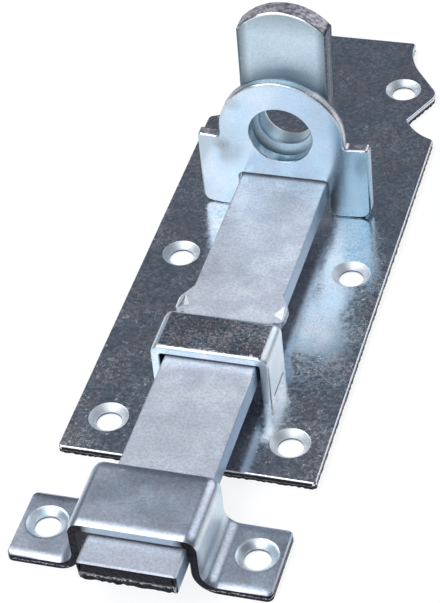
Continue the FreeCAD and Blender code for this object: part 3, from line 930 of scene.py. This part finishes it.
class BOLT_OT_keeper(bpy.types.Operator):
    """Keeper that the bolt shoots into"""

    bl_idname = "bolt.keeper"
    bl_label = "Keeper"

    def execute(self, context):
        sizes, colours = context.scene.bolt_shapes, context.scene.bolt_colours
        piece = copy_node("keeper", "keeper_piece")
        low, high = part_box("keeper")
        holes = hole_places("keeper_screws")
        middle = (low.x + high.x) / 2
        # heights at which its legs and its bridge over the bar begin
        legs_from, bridge_from = 3 * MM, 11.9 * MM
        # out from its middle: bridge, feet, and the edge over the bar: painted pale, then painted
        # shade
        half_bridge, feet_from = 11 * MM, 16 * MM
        pale_to, dark_from = 8.2 * MM, 10.2 * MM
        round_sinks(piece, holes, SHEET_TOP, sizes.keeper_sink_roll)
        roll_ends(piece, low, high, sizes.keeper_roll, sizes.keeper_drop)

        # Formed strip with a soft satin plate, bright where its edges and bends turn over.
        strip = zinc(
            "formed_strip_satin_zinc", colours.keeper_cool, colours.keeper_warm, (0.3, 0.38),
            cloud=4.5 * MM, grain=0.6 * MM, relief=0.008 * MM, depth=0.28,
        )
        # Sheared ends and cut edges: near-black, partly painted shade, with a thin ragged ridge.
        side = torn_steel(
            "sheared_strip_edge", UP, 0.8 * MM, wander=1.2 * MM, width=0.2 * MM
        )
        # Countersinks and leg outsides: smooth pale zinc, with a thin painted shade line where a
        # bore begins. On the leg outsides the pale is a painted reflection.
        pale = zinc(
            "keeper_sink_satin_zinc", colours.sink_pale, colours.grip_ice, (0.38, 0.46),
            depth=0.15, fades=bore_shade_line(colours), **SATIN,
        )
        # Cut edge over the bar: smooth pale zinc, its pale a painted reflection of the bar, and
        # painted shade towards both bends.
        cut_side = zinc(
            "cut_strip_pale_zinc", colours.ice_warm, colours.ice_warm, (0.38, 0.46),
            depth=0.15, **SATIN,
            fades=[
                ("X", middle + way * pale_to, middle + way * dark_from, colours.torn_steel_and_shade, 1.0)
                for way in (-1, 1)
            ],
        )
        inside = shaded_inside("keeper_inside_shade_zinc")

        def zone(face):
            co, normal = face.center, face.normal
            off_middle = abs(co.x - middle)
            if from_hole(co, holes) < SINK_REACH and normal.z < 0.98 and co.z > NEAR:
                return pale
            if inner_skin(face, middle):
                return inside
            on_cut = min(abs(co.y - low.y), abs(co.y - high.y)) < NEAR
            on_end = min(abs(co.x - low.x), abs(co.x - high.x)) < NEAR
            if on_cut and co.z > bridge_from and off_middle < half_bridge:
                return cut_side
            if abs(normal.x) > 0.75 and co.z > legs_from and not on_cut:
                return pale
            foot_side = abs(normal.z) < PARTLY and co.z < SHEET_TOP and off_middle > feet_from
            return side if on_cut or on_end or foot_side else strip

        # corners in the cut edge where the painted shade of the bends begins
        edit(piece)
        for way in (-1, 1):
            point = (middle + way * dark_from, 0, 0)
            cut(piece, lambda f: abs(f.normal.y) > STRAIGHT, point, (1, 0, 0))
        leave()
        coat(piece, [strip, side, pale, inside, cut_side], zone)
        smooth(piece)
        place(piece, "base", "keeper")
        return {"FINISHED"}


def studio_world(stage):
    """Dim even room that the metal mirrors, white where the camera sees past the floor."""
    world = bpy.data.worlds.new("studio")
    bpy.context.scene.world = world
    world.use_nodes = True
    tree = world.node_tree
    tree.nodes.clear()
    seen = add(tree, "ShaderNodeLightPath", output="Is Camera Ray")
    shown = add(
        tree, "ShaderNodeMix", {LEVEL: seen, UNDER: opaque(stage.room_colour), OVER: WHITE},
        data_type="RGBA",
    )
    glow = add(tree, "ShaderNodeBackground", {"Color": shown, "Strength": 1})
    add(tree, "ShaderNodeOutputWorld", {"Surface": glow})


def studio_floor(stage):
    """Pale floor that keeps the shadow and shows white to the camera and in the metal."""
    metres_wide = 6
    bpy.ops.mesh.primitive_plane_add(size=metres_wide, location=(0, 0, -NEAR))
    floor = bpy.context.object
    floor.name = "floor"
    made = bpy.data.materials.new("pale_floor")
    made.use_nodes = True
    tree = made.node_tree
    tree.nodes.clear()
    seen = add(tree, "ShaderNodeLightPath", output="Is Camera Ray")
    for ray in ("Is Glossy Ray", "Is Transmission Ray"):
        other = add(tree, "ShaderNodeLightPath", output=ray)
        seen = add(tree, "ShaderNodeMath", {0: seen, 1: other}, operation="MAXIMUM")
    part = add(tree, "ShaderNodeMath", {0: seen, 1: stage.floor_glow}, operation="MULTIPLY")
    matt = add(tree, "ShaderNodeBsdfDiffuse", {"Color": opaque(stage.floor_colour)})
    white = add(tree, "ShaderNodeEmission", {"Color": WHITE, "Strength": stage.floor_level})
    mixed = add(tree, "ShaderNodeMixShader", {0: part, 1: matt, 2: white})
    add(tree, "ShaderNodeOutputMaterial", {"Surface": mixed})
    floor.data.materials.append(made)


def softbox(name, towards, distance, size, level):
    """Square soft light that shines at the object with a given brightness."""
    lamp = bpy.data.lights.new(name, "AREA")
    lamp.shape = "SQUARE"
    lamp.size = size
    lamp.energy = level * math.pi * size**2
    made = bpy.data.objects.new(name, lamp)
    bpy.context.scene.collection.objects.link(made)
    way = Vector(towards).normalized()
    made.location = way * distance
    made.rotation_mode = "QUATERNION"
    made.rotation_quaternion = (-way).to_track_quat("-Z", "Y")


class BOLT_OT_stage(bpy.types.Operator):
    """Floor, lights and camera"""

    bl_idname = "bolt.stage"
    bl_label = "Stage"

    def execute(self, context):
        scene = context.scene
        stage = scene.bolt_stage
        scene.view_settings.view_transform = "Standard"
        studio_world(stage)
        studio_floor(stage)
        # direction from the object, distance and width in metres, brightness
        softbox("front_light", (-0.2, -0.72, 0.68), 1.1, 1.1, stage.front_level)
        softbox("top_light", (-0.45, 0.05, 0.9), 0.9, 0.6, stage.top_level)
        softbox("side_light", (0.45, 0.66, 0.58), 1.1, 0.75, stage.side_level)
        softbox("right_glint", (0.30, 0.43, 0.85), 1.0, 0.16, stage.glint_level)
        softbox("left_glint", (-0.69, 0.48, 0.54), 1.0, 0.1, stage.glint_level)
        lens = bpy.data.cameras.new("camera")
        lens.lens = stage.lens
        camera = bpy.data.objects.new("camera", lens)
        scene.collection.objects.link(camera)
        flat = math.cos(stage.elevation)
        right, rear = math.sin(stage.azimuth) * flat, -math.cos(stage.azimuth) * flat
        back = Vector((right, rear, math.sin(stage.elevation)))
        camera.location = (stage.camera_x, stage.camera_y, stage.camera_z)
        camera.rotation_mode = "QUATERNION"
        level_view = (-back).to_track_quat("-Z", "Y")
        camera.rotation_quaternion = Quaternion(back, stage.roll) @ level_view
        scene.camera = camera
        return {"FINISHED"}


# In the order in which main calls them.
STEPS = (
    BOLT_OT_stage, BOLT_OT_plate, BOLT_OT_strap, BOLT_OT_bracket, BOLT_OT_bar, BOLT_OT_keeper,
)
GROUPS = {"bolt_shapes": BoltShapes, "bolt_colours": BoltColours, "bolt_stage": BoltStage}


class BOLT_PT_panel(bpy.types.Panel):
    """Pieces of the sliding bolt"""

    bl_idname = "BOLT_PT_panel"
    bl_label = "Sliding bolt"
    bl_space_type = "VIEW_3D"
    bl_region_type = "UI"
    bl_category = "Sliding bolt"

    def draw(self, context):
        for made in STEPS:
            self.layout.operator(made.bl_idname)
        for name, kind in GROUPS.items():
            settings = getattr(context.scene, name)
            column = self.layout.column()
            for field in kind.__annotations__:
                column.prop(settings, field)


def register():
    for made in (*GROUPS.values(), *STEPS, BOLT_PT_panel):
        bpy.utils.register_class(made)
    for name, kind in GROUPS.items():
        setattr(bpy.types.Scene, name, bpy.props.PointerProperty(type=kind))


def unregister():
    for name in GROUPS:
        delattr(bpy.types.Scene, name)
    for made in (BOLT_PT_panel, *reversed(STEPS), *GROUPS.values()):
        bpy.utils.unregister_class(made)


def main():
    register()
    for made in STEPS:
        group_name, operator = made.bl_idname.split(".")
        getattr(getattr(bpy.ops, group_name), operator)()


if __name__ == "__main__":
    main()
